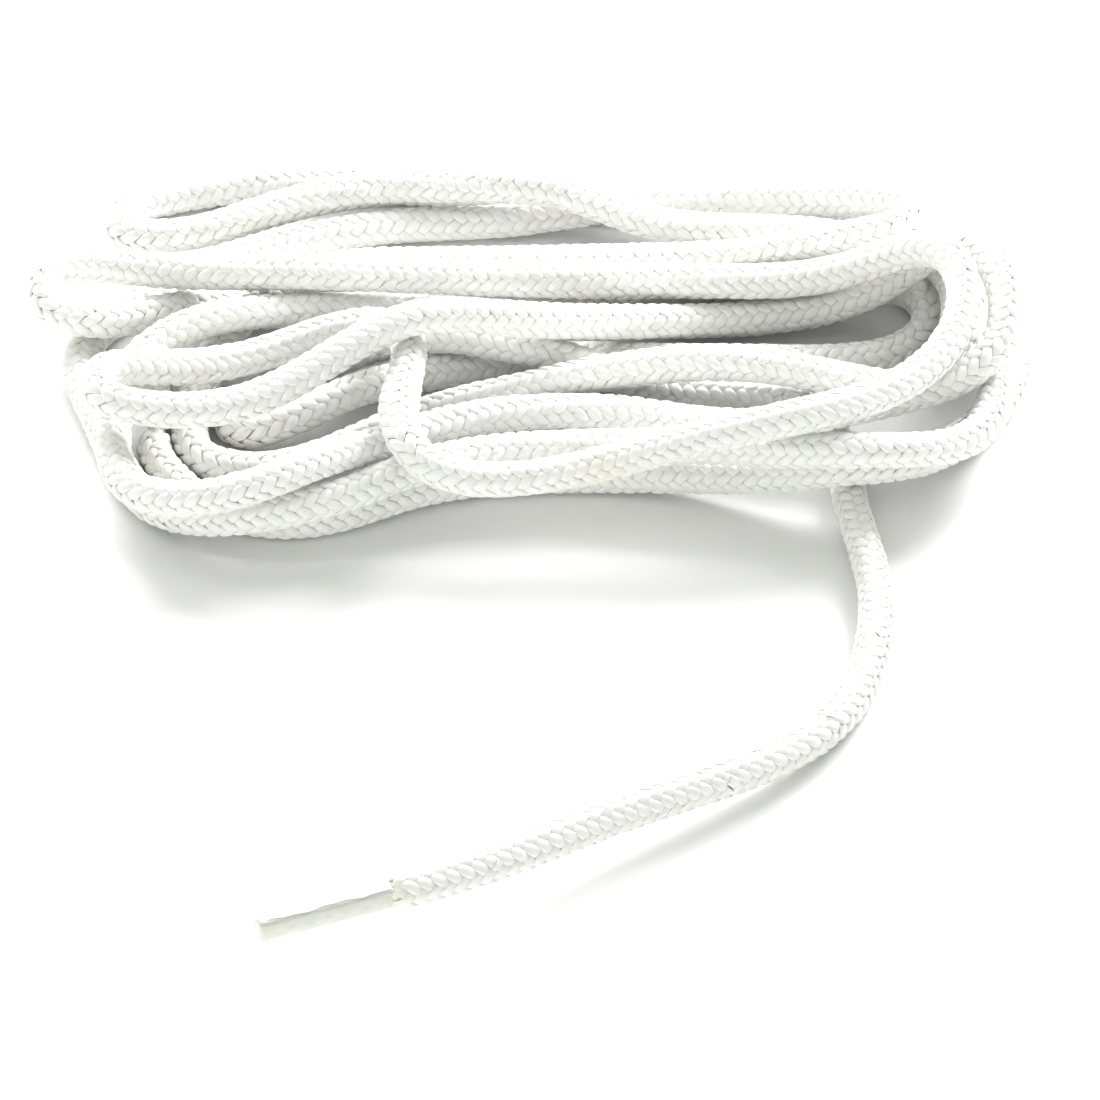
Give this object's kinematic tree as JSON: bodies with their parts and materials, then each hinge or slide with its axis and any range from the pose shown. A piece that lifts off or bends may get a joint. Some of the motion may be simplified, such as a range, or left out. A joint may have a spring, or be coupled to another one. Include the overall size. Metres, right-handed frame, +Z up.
{
  "type": "coiled braided cord",
  "caption": "Loose flattened hank of white braided cord with a bendable free tail that ends in a stiff film-wrapped tip; for lashing and light mooring",
  "frame": {"origin": "bottom middle of the whole line's bounding box, on the floor the hank lies on", "axes": "+X right along the hank's long passes, +Y away from the free tail towards the back of the hank, +Z up"},
  "size_m": [0.1642, 0.1928, 0.0248],
  "materials": {
    "cover_braid": "matte braided synthetic yarn with a soft sheen",
    "core_yarn": "matte parallel yarn",
    "sealed_cord": "pressed and heat-sealed braid end",
    "tip_film": "translucent film, satin"
  },
  "bodies": {
    "hank": {"cover_hank": "cover_braid", "core_hank": "core_yarn", "cord_end_b": "sealed_cord", "tip_film_b": "tip_film"},
    "tail_1": {"cover_tail_1": "cover_braid", "core_tail_1": "core_yarn"},
    "tail_2": {"cover_tail_2": "cover_braid", "core_tail_2": "core_yarn"},
    "tail_3": {"cover_tail_3": "cover_braid", "core_tail_3": "core_yarn"},
    "tail_4": {"cover_tail_4": "cover_braid", "core_tail_4": "core_yarn"},
    "tail_5": {"cover_tail_5": "cover_braid", "core_tail_5": "core_yarn"},
    "tip": {"cord_end_a": "sealed_cord", "tip_film_a": "tip_film"}
  },
  "joints": [
    {"name": "swing_1", "type": "hinge", "parent": "hank", "child": "tail_1", "pos_m": [0.05531, -0.01205, 0.00282], "axis": [0, 0, 1], "range_deg": [-18, 35]},
    {"name": "lift_2", "type": "hinge", "parent": "tail_1", "child": "tail_2", "pos_m": [0.0518, -0.03314, 0.0029], "axis": [-0.9383, 0.3457, 0], "range_deg": [0, 35]},
    {"name": "swing_3", "type": "hinge", "parent": "tail_2", "child": "tail_3", "pos_m": [0.0391, -0.05007, 0.0038], "axis": [0, 0, 1], "range_deg": [-18, 30]},
    {"name": "lift_4", "type": "hinge", "parent": "tail_3", "child": "tail_4", "pos_m": [0.0209, -0.06138, 0.00533], "axis": [-0.5057, 0.8627, 0], "range_deg": [0, 35]},
    {"name": "swing_5", "type": "hinge", "parent": "tail_4", "child": "tail_5", "pos_m": [0.00287, -0.07297, 0.00706], "axis": [0, 0, 1], "range_deg": [-20, 30]},
    {"name": "lift_6", "type": "hinge", "parent": "tail_5", "child": "tip", "pos_m": [-0.01544, -0.0841, 0.00859], "axis": [-0.4456, 0.8952, 0], "range_deg": [0, 40]}
  ]
}
